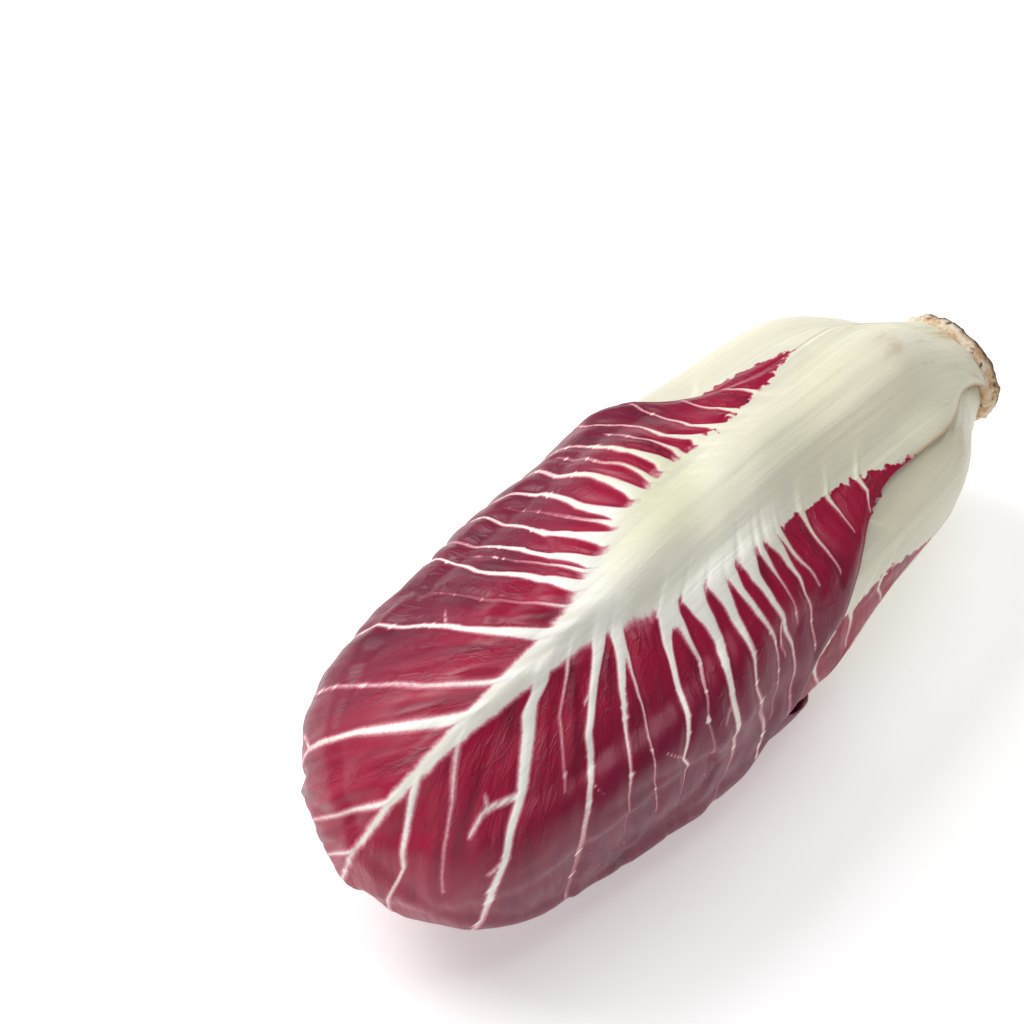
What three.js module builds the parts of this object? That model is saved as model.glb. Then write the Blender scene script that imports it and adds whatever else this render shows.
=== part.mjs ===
// A head of early Treviso radicchio, lying on its side as it does on a table: six broad outer leaves
// with thick ribs, wrapped over each other round a closed heart, on the stub of the cut root.
// Millimetres, +Z up, the root towards +X and the tip towards -X.
import * as THREE from "three";

// The closed head, measured from the plane where the leaves leave the root. Its body ends at
// SPINE_END, and a blunt dome makes the tip.
const SPINE_END = 141;
const ROOT_RADIUS = 17;
const BODY_RADIUS = 42;
const FLARE = 6.2;
const TIP_REACH = 78.7;
const BLUNTNESS = 2.45;
const SHOULDER_SWELL = 4;
const SHOULDER = { start: 8, full: 34, fall: 76, end: 141 };
const SIDE_SCALE = 1.02;
const HEIGHT_SCALE = 0.96;

// How deep the heart lies under that surface, which leaves room for the leaves round it
const HEART_DEPTH = 9.5;

// Where the head lies. Its spine runs level above the table, but the root sits to one side of it, and
// the tip a little too, as the head has grown in a slight bow towards LEAN.
const ROOT_X = 110.95;
const SPINE_Y = 1.17;
const SPINE_Z = 45.2;
const LEAN = -61;
const ROOT_SHIFT = 4.6;
const ROOT_SHIFT_REACH = 18;
const TIP_SHIFT = 2.2;
const TIP_SHIFT_START = 108;
const TIP_SHIFT_FULL = 156;

// Every leaf: its blade, the least that is left where the head is pressed flat, the room over it, and
// the mesh it is cut into
const BLADE = 0.9;
const LEAST_WALL = 0.7;
const GAP = 1.12;
const COLUMNS = 20;
const ROWS = 28;
const COLUMN_CROWDING = 1.1;

// The fan that spreads a leaf over the dome, from a pivot under the spine
const PIVOT_DROP = 0.9;
const CAP_BEND = 118;

// A leaf's outline, as shares of its length and of its widest half. It is drawn in at the very foot,
// where its rib is thinner too.
const FOOT_SHARE = 0.55;
const FOOT_END = 0.13;
const SHOULDER_START = 0.2;
const SHOULDER_END = 0.54;
const TAPER_START = 0.62;
const TAPER_LENGTH = 0.41;
const TAPER_POWER = 2.4;
const END_ROUND = 0.06;
const MARGIN_WAVE = 0.022;
const MARGIN_WAVES = 9;

// The rib, from the foot of a leaf to its end
const RIB_HALF_FOOT = 20;
const RIB_HALF_END = 4;
const RIB_TAPER_START = 0.15;
const RIB_TAPER_END = 0.7;
const RIB_FALL = 0.9;
const RIB_FALL_POWER = 1.3;

// The blade stands up in swells along the side veins, which sweep towards the tip
const SWELL_ROWS = 2;
const SWELL_HEIGHT = 0.8;
const SWELL_SWEEP = 0.4;
const SWELL_START = 0.16;
const SWELL_FULL = 0.42;
const SWELL_LEAST = 0.55;
const CRESTS_APART = 2.4;

// The margins lift a little off the leaf below, in waves
const CURL_HEIGHT = 0.9;
const CURL_REACH = 16;
const CURL_WAVES = 7;

// How an outer leaf rides over the ones under it
const RIB_GRIP = 5;
const FADE_START = 8;
const FADE_END = 40;

// The heart's own leaf edges show as slight steps that wind round it
const HEART_SIDES = 36;
const HEART_BODY_RINGS = 14;
const HEART_DOME_RINGS = 9;
const HEART_LEAVES = 5;
const HEART_STEP = 0.9;
const HEART_WIND = 0.004;

// The cut root
const STUB_GAP = 0.4;
const STUB_LENGTH = 9;
const STUB_SIDES = 40;
const STUB_SECTIONS = [
  { behind: STUB_LENGTH, radius: 0, rough: 0 },
  { behind: 8.2, radius: 8, rough: 0.3 },
  { behind: 7.8, radius: 14.8, rough: 0.9 },
  { behind: 6.6, radius: 16.6, rough: 0.9 },
  { behind: 4, radius: 17.2, rough: 0.7 },
  { behind: 1.6, radius: 17, rough: 0.7 },
  { behind: STUB_GAP, radius: 15.6, rough: 0.5 },
  { behind: STUB_GAP, radius: 0, rough: 0 },
];
const STUB_LOBES = [
  { count: 3, share: 0.5 },
  { count: 8, share: 0.3 },
  { count: 13, share: 0.2 },
];

// From the innermost leaf to the outermost. Angles turn round the head from straight up towards -Y,
// and lengths and widths are measured over the curve of the leaf.
const LEAVES = [
  { name: "leaf_6_right_under", angle: 128, length: 263, width: 78, foot: 24, rib: 3.4, colour: "#8a1c39" },
  { name: "leaf_5_left", angle: -60, length: 261, width: 80, foot: 30, rib: 4.4, colour: "#861a37" },
  { name: "leaf_4_left_under", angle: -116, length: 259, width: 76, foot: 25, rib: 3.4, colour: "#861a37" },
  { name: "leaf_3_right", angle: 68, length: 265, width: 78, foot: 23, rib: 3.8, colour: "#841835" },
  { name: "leaf_2_under", angle: 180, length: 255, width: 62, foot: 22, rib: 4.0, colour: "#821633" },
  { name: "leaf_1_top", angle: 15, length: 271, width: 86, foot: 27, rib: 4.2, colour: "#821633" },
];

// Two leaves bulge out where they come from under the top leaf's margins
const BULGES = [
  { name: "leaf_5_left", along: 94, across: -1, height: 2.4, reachAlong: 34, reachAcross: 24 },
  { name: "leaf_3_right", along: 104, across: 44, height: 3.4, reachAlong: 62, reachAcross: 34 },
];

function clamp01(t) {
  return Math.min(1, Math.max(0, t));
}

function smoothstep(from, to, t) {
  const u = clamp01((t - from) / (to - from));
  return u * u * (3 - 2 * u);
}

function flaredRadius(foot) {
  const { start, full, fall, end } = SHOULDER;
  const swell = SHOULDER_SWELL * smoothstep(start, full, foot) * (1 - smoothstep(fall, end, foot));
  return ROOT_RADIUS + (BODY_RADIUS - ROOT_RADIUS) * (1 - (1 - foot / SPINE_END) ** FLARE) + swell;
}

// A place on the head is a foot on the spine and a direction out of it: straight out along the body,
// and fanned out from the spine's end over the dome.
function bodyRadius(foot, direction) {
  const round = Math.hypot(direction.y, direction.z);
  let radius;
  if (direction.x > 0) {
    const sum = (direction.x / TIP_REACH) ** BLUNTNESS + (round / BODY_RADIUS) ** BLUNTNESS;
    radius = sum ** (-1 / BLUNTNESS);
  } else {
    radius = flaredRadius(foot);
  }
  return radius / Math.hypot(direction.x, direction.y / SIDE_SCALE, direction.z / HEIGHT_SCALE);
}

function heartRadius(foot, direction) {
  return bodyRadius(foot, direction) - HEART_DEPTH;
}

function onHead(foot, direction, radius) {
  const fromRoot = foot + direction.x * radius;
  const rootShift = ROOT_SHIFT * (1 - smoothstep(-STUB_LENGTH, ROOT_SHIFT_REACH, fromRoot));
  const tipShift = TIP_SHIFT * smoothstep(TIP_SHIFT_START, TIP_SHIFT_FULL, fromRoot);
  const shift = rootShift + tipShift;
  const lean = THREE.MathUtils.degToRad(LEAN);
  return new THREE.Vector3(
    ROOT_X - fromRoot,
    SPINE_Y - direction.y * radius + shift * Math.sin(lean),
    SPINE_Z + direction.z * radius - shift * Math.cos(lean),
  );
}

function turnRoundSpine(direction, degrees) {
  return direction.clone().applyAxisAngle(new THREE.Vector3(1, 0, 0), THREE.MathUtils.degToRad(degrees));
}

// A leaf's own measures are how far along its rib and how far across it, both over the curve.
function placeOnHead(leaf, along, across) {
  const foot = Math.min(along, SPINE_END);
  const turn = across / flaredRadius(foot);
  const swing = Math.atan2(Math.sin(turn), Math.cos(turn) + PIVOT_DROP);
  const bend = Math.max(0, along - SPINE_END) / CAP_BEND;
  const side = Math.cos(swing);
  const ray = new THREE.Vector3(side * Math.sin(bend), Math.sin(swing), side * Math.cos(bend));
  const drop = PIVOT_DROP * ray.z;
  const reach = drop + Math.sqrt(drop * drop + 1 - PIVOT_DROP * PIVOT_DROP);
  const direction = ray.multiplyScalar(reach).sub(new THREE.Vector3(0, 0, PIVOT_DROP)).normalize();
  if (along <= SPINE_END) direction.x = 0;
  return { foot, direction: turnRoundSpine(direction, -leaf.angle) };
}

function measuresOnLeaf(leaf, foot, direction) {
  const own = turnRoundSpine(direction, leaf.angle);
  if (own.x < 1e-9) {
    return { along: foot, across: Math.atan2(own.y, own.z) * flaredRadius(foot) };
  }
  const ray = own.clone().add(new THREE.Vector3(0, 0, PIVOT_DROP)).normalize();
  const along = SPINE_END + Math.atan2(ray.x, ray.z) * CAP_BEND;
  const swing = Math.asin(ray.y);
  return { along, across: (swing + Math.asin(PIVOT_DROP * Math.sin(swing))) * BODY_RADIUS };
}

function footing(share) {
  return FOOT_SHARE + (1 - FOOT_SHARE) * smoothstep(0, FOOT_END, share);
}

// Outline: a broad foot that is all rib, a shoulder where the blade spreads, and a rounded end
function halfWidth(leaf, share) {
  const blade = (leaf.width - leaf.foot) * smoothstep(SHOULDER_START, SHOULDER_END, share);
  const spread = leaf.foot * footing(share) + blade;
  const rounding = clamp01((share - TAPER_START) / TAPER_LENGTH);
  return spread * Math.sqrt(1 - rounding ** TAPER_POWER);
}

function endShare(across) {
  return 1 - END_ROUND * across * across;
}

function insideMargin(leaf, along, across) {
  const share = clamp01(along / leaf.length);
  const half = halfWidth(leaf, share);
  const fromSide = half - Math.abs(across);
  const fromEnd = (endShare(clamp01(Math.abs(across) / half)) - along / leaf.length) * leaf.length;
  return Math.min(fromSide, fromEnd);
}

function ribProfile(leaf, along, across) {
  const share = clamp01(along / leaf.length);
  const height = leaf.rib * footing(share) * (1 - RIB_FALL * share ** RIB_FALL_POWER);
  const taper = smoothstep(RIB_TAPER_START, RIB_TAPER_END, share);
  const half = RIB_HALF_FOOT + (RIB_HALF_END - RIB_HALF_FOOT) * taper;
  return height * (1 - clamp01(across / half) ** 2) ** 2;
}

// The room that a leaf's swells and curled margins may take, which is nothing at its foot
function swellRoom(leaf, along) {
  return SWELL_HEIGHT * smoothstep(SWELL_START, SWELL_FULL, along / leaf.length);
}

function curlRoom(leaf, along, across) {
  const share = smoothstep(SWELL_START, SWELL_FULL, along / leaf.length);
  return CURL_HEIGHT * share * (1 - smoothstep(0, CURL_REACH, insideMargin(leaf, along, across)));
}

function bulge(leaf, along, across) {
  const own = BULGES.find((each) => each.name === leaf.name);
  if (!own) return 0;
  const awayAlong = (along - own.along) / own.reachAlong;
  const awayAcross = (across - own.across) / own.reachAcross;
  return own.height * (1 - smoothstep(0, 1, Math.hypot(awayAlong, awayAcross)));
}

// What lies under a leaf: the heart, and each leaf further in, which the outer ones ride over smoothly
function heightUnder(index, foot, direction) {
  let height = 0;
  for (const leaf of LEAVES.slice(0, index)) {
    const { along, across } = measuresOnLeaf(leaf, foot, direction);
    const beyond = -insideMargin(leaf, along, across);
    const cover = 1 - smoothstep(FADE_START, FADE_END, beyond);
    const grip = Math.max(0, Math.abs(across) - RIB_GRIP);
    const room = swellRoom(leaf, along) + curlRoom(leaf, along, across) + bulge(leaf, along, across);
    height += cover * (BLADE + ribProfile(leaf, along, grip) + room + GAP);
  }
  return height;
}

// A closed sheet, its two faces split into triangles alike, from a rule that gives a point for
// each place on it and each face of it
function closedSheet(columns, rows, pointAt) {
  const grid = new THREE.PlaneGeometry(1, 1, columns, rows).getIndex().array;
  const count = (columns + 1) * (rows + 1);
  const points = [];
  for (const face of [1, 0]) {
    for (let row = 0; row <= rows; row++) {
      for (let column = 0; column <= columns; column++) {
        points.push(pointAt(column, row, face));
      }
    }
  }
  const triangles = [];
  for (let i = 0; i < grid.length; i += 3) {
    const [a, b, c] = [grid[i], grid[i + 1], grid[i + 2]];
    triangles.push(a, b, c, c + count, b + count, a + count);
  }
  const rim = [];
  for (let column = 0; column < columns; column++) rim.push(column);
  for (let row = 0; row < rows; row++) rim.push(row * (columns + 1) + columns);
  for (let column = columns; column > 0; column--) rim.push(rows * (columns + 1) + column);
  for (let row = rows; row > 0; row--) rim.push(row * (columns + 1));
  rim.forEach((from, i) => {
    const to = rim[(i + 1) % rim.length];
    triangles.push(from, to, to + count, from, to + count, from + count);
  });
  return new THREE.BufferGeometry().setFromPoints(points).setIndex(triangles);
}

// Rows of the mesh sweep towards the tip like the side veins, and every second one is the crest of a swell.
function leafGeometry(index) {
  const leaf = LEAVES[index];
  return closedSheet(COLUMNS, ROWS, (column, row, face) => {
    const side = (2 * column) / COLUMNS - 1;
    const across = Math.sign(side) * Math.abs(side) ** COLUMN_CROWDING;
    const v = row / ROWS;
    const sweep = SWELL_SWEEP * Math.abs(across) * v * (1 - v);
    const share = (v + sweep) * endShare(across * v);
    const along = leaf.length * share;
    const wave = MARGIN_WAVE * Math.sin(2 * Math.PI * MARGIN_WAVES * v + index + side) * across * across * v;
    const measured = (across + wave) * halfWidth(leaf, share);
    const { foot, direction } = placeOnHead(leaf, along, measured);
    const uneven = (1 + SWELL_LEAST + (1 - SWELL_LEAST) * Math.sin(CRESTS_APART * row + index)) / 2;
    const crest = row % SWELL_ROWS === 0 ? uneven : 0;
    const offRib = smoothstep(0, RIB_HALF_FOOT, Math.abs(measured));
    const swell = swellRoom(leaf, along) * crest * offRib;
    const ripple = (1 + Math.sin(2 * Math.PI * CURL_WAVES * v + index * side)) / 2;
    const curl = curlRoom(leaf, along, measured) * ripple;
    const rise = GAP + swell + curl + bulge(leaf, along, measured);
    const under = heartRadius(foot, direction) + heightUnder(index, foot, direction) + rise;
    const thickness = BLADE + ribProfile(leaf, along, Math.abs(measured));
    const point = onHead(foot, direction, under + face * thickness);
    point.z = Math.max(face === 1 ? 0 : LEAST_WALL, point.z);
    return point;
  });
}

// A closed body with a pole at each end, from a rule that gives a point for each ring and turn
function closedRings(rings, sides, pointAt) {
  const profile = [];
  for (let ring = 0; ring <= rings; ring++) {
    profile.push(new THREE.Vector2(ring === 0 || ring === rings ? 0 : 1, ring));
  }
  const turned = new THREE.LatheGeometry(profile, sides);
  const place = turned.getAttribute("position");
  for (let i = 0; i < place.count; i++) {
    const side = Math.floor(i / (rings + 1)) % sides;
    const point = pointAt(i % (rings + 1), (-2 * Math.PI * side) / sides);
    place.setXYZ(i, point.x, point.y, point.z);
  }
  return turned;
}

// The closed heart of small leaves on its neck, whose edges show as steps that wind round it
function heartGeometry() {
  const rings = HEART_BODY_RINGS + HEART_DOME_RINGS;
  return closedRings(rings, HEART_SIDES, (ring, turn) => {
    const foot = SPINE_END * clamp01((ring - 1) / (HEART_BODY_RINGS - 1));
    const bend = (Math.PI / 2) * clamp01((ring - HEART_BODY_RINGS) / HEART_DOME_RINGS);
    const direction = new THREE.Vector3(
      Math.sin(bend),
      Math.cos(bend) * Math.sin(turn),
      Math.cos(bend) * Math.cos(turn),
    );
    if (ring <= HEART_BODY_RINGS) direction.x = 0;
    if (ring === 0) return onHead(0, direction, 0);
    const wind = HEART_LEAVES * (turn / (2 * Math.PI) + HEART_WIND * foot);
    const step = HEART_STEP * (wind - Math.floor(wind)) * Math.cos(bend) * clamp01(foot / SPINE_END);
    return onHead(foot, direction, heartRadius(foot, direction) - step);
  });
}

// The stub of the root behind the leaves, cut across and roughly trimmed
function stubGeometry() {
  return closedRings(STUB_SECTIONS.length - 1, STUB_SIDES, (ring, turn) => {
    const { behind, radius, rough } = STUB_SECTIONS[ring];
    let uneven = 0;
    for (const { count, share } of STUB_LOBES) uneven += share * Math.sin(count * turn + ring);
    const direction = new THREE.Vector3(0, Math.sin(turn), Math.cos(turn));
    return onHead(-behind, direction, radius + rough * uneven);
  });
}

function mesh(name, geometry, colour, roughness) {
  const made = new THREE.Mesh(
    geometry,
    new THREE.MeshStandardMaterial({ color: colour, roughness, metalness: 0 }),
  );
  made.name = name;
  return made;
}

const head = new THREE.Group();
LEAVES.forEach((leaf, index) => head.add(mesh(leaf.name, leafGeometry(index), leaf.colour, 0.4)));
head.add(mesh("heart", heartGeometry(), "#c9a0a4", 0.5));
head.add(mesh("root_stub", stubGeometry(), "#b49a82", 0.8));
export default head;
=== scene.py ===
"""A head of early Treviso radicchio on a white table: ribbed and veined leaves round a closed heart.

Every leaf lies on the head by the same rule as its solid. What is added here is the fine form, which is
side veins in relief, blades that pucker between them and curled margins, and the finishes.
"""

import logging
import math
from dataclasses import dataclass, field
from enum import Enum

import bmesh
import bpy
import numpy as np
from mathutils import Matrix, Vector


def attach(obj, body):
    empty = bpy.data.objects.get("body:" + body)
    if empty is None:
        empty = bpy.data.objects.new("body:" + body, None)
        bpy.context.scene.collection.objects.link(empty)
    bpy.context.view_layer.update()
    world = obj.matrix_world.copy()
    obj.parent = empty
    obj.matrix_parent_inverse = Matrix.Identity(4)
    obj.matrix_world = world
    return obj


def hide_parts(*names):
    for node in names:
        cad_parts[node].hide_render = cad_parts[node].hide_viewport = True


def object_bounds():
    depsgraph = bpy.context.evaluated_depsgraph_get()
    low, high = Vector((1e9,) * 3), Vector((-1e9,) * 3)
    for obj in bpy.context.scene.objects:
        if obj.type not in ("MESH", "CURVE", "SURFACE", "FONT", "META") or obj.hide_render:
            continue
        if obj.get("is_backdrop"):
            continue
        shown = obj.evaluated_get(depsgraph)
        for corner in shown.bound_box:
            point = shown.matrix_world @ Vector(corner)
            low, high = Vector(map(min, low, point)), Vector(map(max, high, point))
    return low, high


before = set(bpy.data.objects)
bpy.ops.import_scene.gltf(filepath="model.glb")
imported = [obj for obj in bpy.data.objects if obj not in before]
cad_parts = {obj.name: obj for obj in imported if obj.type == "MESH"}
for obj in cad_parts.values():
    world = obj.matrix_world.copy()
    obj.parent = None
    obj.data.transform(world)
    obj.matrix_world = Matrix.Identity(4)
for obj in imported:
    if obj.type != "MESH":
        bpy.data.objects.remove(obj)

MM = 0.001
log = logging.getLogger("radicchio")


# ---------------------------------------------------------------- arithmetic on whole arrays


def smoothstep(start: float, end: float, value: np.ndarray) -> np.ndarray:
    """Rises smoothly from 0 at start to 1 at end.

    Args:
        start: where the rise begins.
        end: where it is complete.
        value: the places asked about.

    Returns:
        The rise at each place.
    """
    share = np.clip((value - start) / (end - start), 0.0, 1.0)
    return share * share * (3.0 - 2.0 * share)


def turned(direction: np.ndarray, degrees: float) -> np.ndarray:
    """Directions turned round the spine of the head, which is the X axis.

    Args:
        direction: an array of X, Y, Z rows.
        degrees: the turn, from Y towards Z.

    Returns:
        The turned rows.
    """
    angle = math.radians(degrees)
    x, y, z = direction[:, 0], direction[:, 1], direction[:, 2]
    return np.stack(
        [x, y * math.cos(angle) - z * math.sin(angle), y * math.sin(angle) + z * math.cos(angle)], axis=1
    )


class Unevenness:
    """Smooth random hills over a plane, the same on every run."""

    def __init__(self, seed: int, side: int = 96) -> None:
        """Draws the heights of the hills.

        Args:
            seed: which set of hills.
            side: how many hills there are before they repeat.
        """
        self.side = side
        self.heights = np.random.default_rng(seed).uniform(-1.0, 1.0, (side, side))

    def at(self, across: np.ndarray, along: np.ndarray, sharp: bool = False) -> np.ndarray:
        """Height of the hills, from -1 to 1, where one hill is one unit wide.

        Args:
            across: first coordinate.
            along: second coordinate.
            sharp: whether the slopes are straight and meet in creases.

        Returns:
            The height at each place.
        """
        column, row = np.floor(across).astype(int), np.floor(along).astype(int)
        u, v = across - column, along - row
        if not sharp:
            u, v = u * u * (3 - 2 * u), v * v * (3 - 2 * v)
        corner = lambda i, j: self.heights[(row + j) % self.side, (column + i) % self.side]
        low = corner(0, 0) * (1 - u) + corner(1, 0) * u
        high = corner(0, 1) * (1 - u) + corner(1, 1) * u
        return low * (1 - v) + high * v


# ---------------------------------------------------------------- the head that leaves lie on


@dataclass(frozen=True)
class HeadForm:
    """The closed head, in millimetres from the plane where the leaves leave the root."""

    spine_end: float = 141.0
    root_radius: float = 17.0
    body_radius: float = 42.0
    flare: float = 6.2
    tip_reach: float = 78.7
    bluntness: float = 2.45
    shoulder_swell: float = 4.0
    shoulder: tuple[float, float, float, float] = (8.0, 34.0, 76.0, 141.0)
    side_scale: float = 1.02
    height_scale: float = 0.96
    heart_depth: float = 9.5
    root_x: float = 110.95
    spine_y: float = 1.17
    spine_z: float = 45.2
    lean: float = -61.0
    root_shift: float = 4.6
    root_shift_reach: float = 18.0
    tip_shift: float = 2.2
    tip_shift_from: float = 108.0
    tip_shift_full: float = 156.0
    stub_length: float = 9.0

    def flared_radius(self, foot: np.ndarray) -> np.ndarray:
        """Radius of the body at a distance along the spine."""
        start, full, fall, end = self.shoulder
        swell = self.shoulder_swell * smoothstep(start, full, foot) * (1 - smoothstep(fall, end, foot))
        share = np.clip(1 - foot / self.spine_end, 0.0, None)
        return self.root_radius + (self.body_radius - self.root_radius) * (1 - share**self.flare) + swell

    def surface(self, foot: np.ndarray, direction: np.ndarray) -> np.ndarray:
        """Radius of the closed head.

        Args:
            foot: distance along the spine.
            direction: the way out of it, as X, Y, Z rows, with X towards the tip.

        Returns:
            The distance out from the foot.
        """
        round_it = np.hypot(direction[:, 1], direction[:, 2])
        sunk, aside = np.maximum(direction[:, 0], 0.0) / self.tip_reach, round_it / self.body_radius
        dome = (sunk**self.bluntness + aside**self.bluntness) ** (-1 / self.bluntness)
        radius = np.where(direction[:, 0] > 0, dome, self.flared_radius(foot))
        oval = np.sqrt(
            direction[:, 0] ** 2
            + (direction[:, 1] / self.side_scale) ** 2
            + (direction[:, 2] / self.height_scale) ** 2
        )
        return radius / oval

    def heart(self, foot: np.ndarray, direction: np.ndarray) -> np.ndarray:
        """Radius of the closed heart that the leaves start from."""
        return self.surface(foot, direction) - self.heart_depth

    def place(self, foot: np.ndarray, direction: np.ndarray, radius: np.ndarray) -> np.ndarray:
        """Points in the frame of the part, in millimetres.

        Args:
            foot: distance along the spine.
            direction: the way out of it.
            radius: how far out.

        Returns:
            X, Y, Z rows.
        """
        from_root = foot + direction[:, 0] * radius
        shift = self.root_shift * (1 - smoothstep(-self.stub_length, self.root_shift_reach, from_root))
        shift = shift + self.tip_shift * smoothstep(self.tip_shift_from, self.tip_shift_full, from_root)
        lean = math.radians(self.lean)
        return np.stack(
            [
                self.root_x - from_root,
                self.spine_y - direction[:, 1] * radius + shift * math.sin(lean),
                self.spine_z + direction[:, 2] * radius - shift * math.cos(lean),
            ],
            axis=1,
        )


@dataclass(frozen=True)
class LeafForm:
    """The outline, rib and wrapping of one leaf, measured in millimetres over its curve."""

    name: str
    angle: float
    length: float
    width: float
    foot: float
    rib: float
    blade: float = 0.9
    drawn_in: tuple[float, float] = (0.55, 0.13)
    shoulder: tuple[float, float] = (0.2, 0.54)
    taper: tuple[float, float, float] = (0.62, 0.41, 2.4)
    end_round: float = 0.06
    rib_half: tuple[float, float] = (20.0, 4.0)
    rib_taper: tuple[float, float] = (0.15, 0.7)
    rib_fall: tuple[float, float] = (0.9, 1.3)
    swell: tuple[float, float, float] = (0.8, 0.16, 0.42)
    curl: tuple[float, float] = (0.9, 16.0)
    pivot: float = 0.9
    cap_bend: float = 118.0
    bulge_height: float = 0.0
    bulge_at: tuple[float, float] = (94.0, -1.0)
    bulge_reach: tuple[float, float] = (34.0, 24.0)

    def onto(self, head: HeadForm, along: np.ndarray, across: np.ndarray) -> tuple[np.ndarray, np.ndarray]:
        """Where a place of the leaf lies on the head.

        Args:
            head: the closed head.
            along: distance along the rib.
            across: distance across it.

        Returns:
            The foot on the spine and the direction out of it.
        """
        foot = np.minimum(along, head.spine_end)
        turn = across / head.flared_radius(foot)
        swing = np.arctan2(np.sin(turn), np.cos(turn) + self.pivot)
        bend = np.maximum(0.0, along - head.spine_end) / self.cap_bend
        side = np.cos(swing)
        ray = np.stack([side * np.sin(bend), np.sin(swing), side * np.cos(bend)], axis=1)
        drop = self.pivot * ray[:, 2]
        reach = drop + np.sqrt(drop * drop + 1 - self.pivot**2)
        direction = ray * reach[:, None] - np.array([0.0, 0.0, self.pivot])
        direction /= np.linalg.norm(direction, axis=1)[:, None]
        return foot, turned(direction, -self.angle)

    def measures(
        self, head: HeadForm, foot: np.ndarray, direction: np.ndarray
    ) -> tuple[np.ndarray, np.ndarray]:
        """The reverse of onto: how far along and across this leaf a place on the head is."""
        own = turned(direction, self.angle)
        flat_across = np.arctan2(own[:, 1], own[:, 2]) * head.flared_radius(foot)
        ray = own + np.array([0.0, 0.0, self.pivot])
        ray /= np.linalg.norm(ray, axis=1)[:, None]
        along = head.spine_end + np.arctan2(ray[:, 0], ray[:, 2]) * self.cap_bend
        swing = np.arcsin(np.clip(ray[:, 1], -1.0, 1.0))
        across = (swing + np.arcsin(np.clip(self.pivot * np.sin(swing), -1.0, 1.0))) * head.body_radius
        body = own[:, 0] < 1e-9
        return np.where(body, foot, along), np.where(body, flat_across, across)

    def footing(self, share: np.ndarray) -> np.ndarray:
        """How far the leaf is drawn in at its very foot."""
        least, end = self.drawn_in
        return least + (1 - least) * smoothstep(0.0, end, share)

    def half_width(self, share: np.ndarray) -> np.ndarray:
        """Half of the leaf's width at a share of its length."""
        widening = smoothstep(*self.shoulder, share)
        spread = self.foot * self.footing(share) + (self.width - self.foot) * widening
        start, length, power = self.taper
        rounding = np.clip((share - start) / length, 0.0, 1.0)
        return spread * np.sqrt(1 - rounding**power)

    def inside_margin(self, along: np.ndarray, across: np.ndarray) -> np.ndarray:
        """How far inside its own outline a place is, negative outside."""
        half = self.half_width(np.clip(along / self.length, 0.0, 1.0))
        from_side = half - np.abs(across)
        share = np.clip(np.abs(across) / np.maximum(half, 1e-6), 0.0, 1.0)
        from_end = (1 - self.end_round * share**2) * self.length - along
        return np.minimum(from_side, from_end)

    def rib_height(self, along: np.ndarray, across: np.ndarray) -> np.ndarray:
        """How much thicker than the blade the rib is."""
        share = np.clip(along / self.length, 0.0, 1.0)
        fall, power = self.rib_fall
        wide, narrow = self.rib_half
        half = wide + (narrow - wide) * smoothstep(*self.rib_taper, share)
        height = self.rib * self.footing(share) * (1 - fall * share**power)
        return height * (1 - np.clip(across / half, 0.0, 1.0) ** 2) ** 2

    def room(self, along: np.ndarray, across: np.ndarray) -> np.ndarray:
        """The height kept free over the blade for its swells, curled margins and bulge."""
        height, start, full = self.swell
        share = smoothstep(start, full, along / self.length)
        curl, reach = self.curl
        edge = 1 - smoothstep(0.0, reach, self.inside_margin(along, across))
        return share * (height + curl * edge) + self.bulge(along, across)

    def bulge(self, along: np.ndarray, across: np.ndarray) -> np.ndarray:
        """How far the leaf stands out where it comes from under another one's margin."""
        (at_along, at_across), (reach_along, reach_across) = self.bulge_at, self.bulge_reach
        away = np.hypot((along - at_along) / reach_along, (across - at_across) / reach_across)
        return self.bulge_height * (1 - smoothstep(0.0, 1.0, away))


LEAVES = (
    LeafForm("leaf_6_right_under", 128, 263, 78, 24, 3.4),
    LeafForm("leaf_5_left", -60, 261, 80, 30, 4.4, bulge_height=2.4),
    LeafForm("leaf_4_left_under", -116, 259, 76, 25, 3.4),
    LeafForm(
        "leaf_3_right",
        68,
        265,
        78,
        23,
        3.8,
        bulge_height=3.4,
        bulge_at=(104.0, 44.0),
        bulge_reach=(62.0, 34.0),
    ),
    LeafForm("leaf_2_under", 180, 255, 62, 22, 4.0),
    LeafForm("leaf_1_top", 15, 271, 86, 27, 4.2),
)


@dataclass(frozen=True)
class Wrapping:
    """How the leaves lie over each other, from the innermost to the outermost."""

    head: HeadForm = HeadForm()
    leaves: tuple[LeafForm, ...] = LEAVES
    gap: float = 1.12
    grip: float = 5.0
    fade: tuple[float, float] = (8.0, 40.0)

    def height_under(self, index: int, foot: np.ndarray, direction: np.ndarray) -> np.ndarray:
        """Height over the heart of all that lies under one leaf.

        Args:
            index: which leaf, counted from the innermost.
            foot: distance along the spine.
            direction: the way out of it.

        Returns:
            The height at each place.
        """
        height = np.zeros_like(foot)
        for leaf in self.leaves[:index]:
            along, across = leaf.measures(self.head, foot, direction)
            cover = 1 - smoothstep(*self.fade, -leaf.inside_margin(along, across))
            ridge = leaf.rib_height(along, np.maximum(0.0, np.abs(across) - self.grip))
            height += cover * (leaf.blade + ridge + leaf.room(along, across) + self.gap)
        return height


# ---------------------------------------------------------------- veins


class Side(Enum):
    """The two halves of a leaf, on either side of its rib."""

    RIGHT = 1
    LEFT = -1


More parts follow.
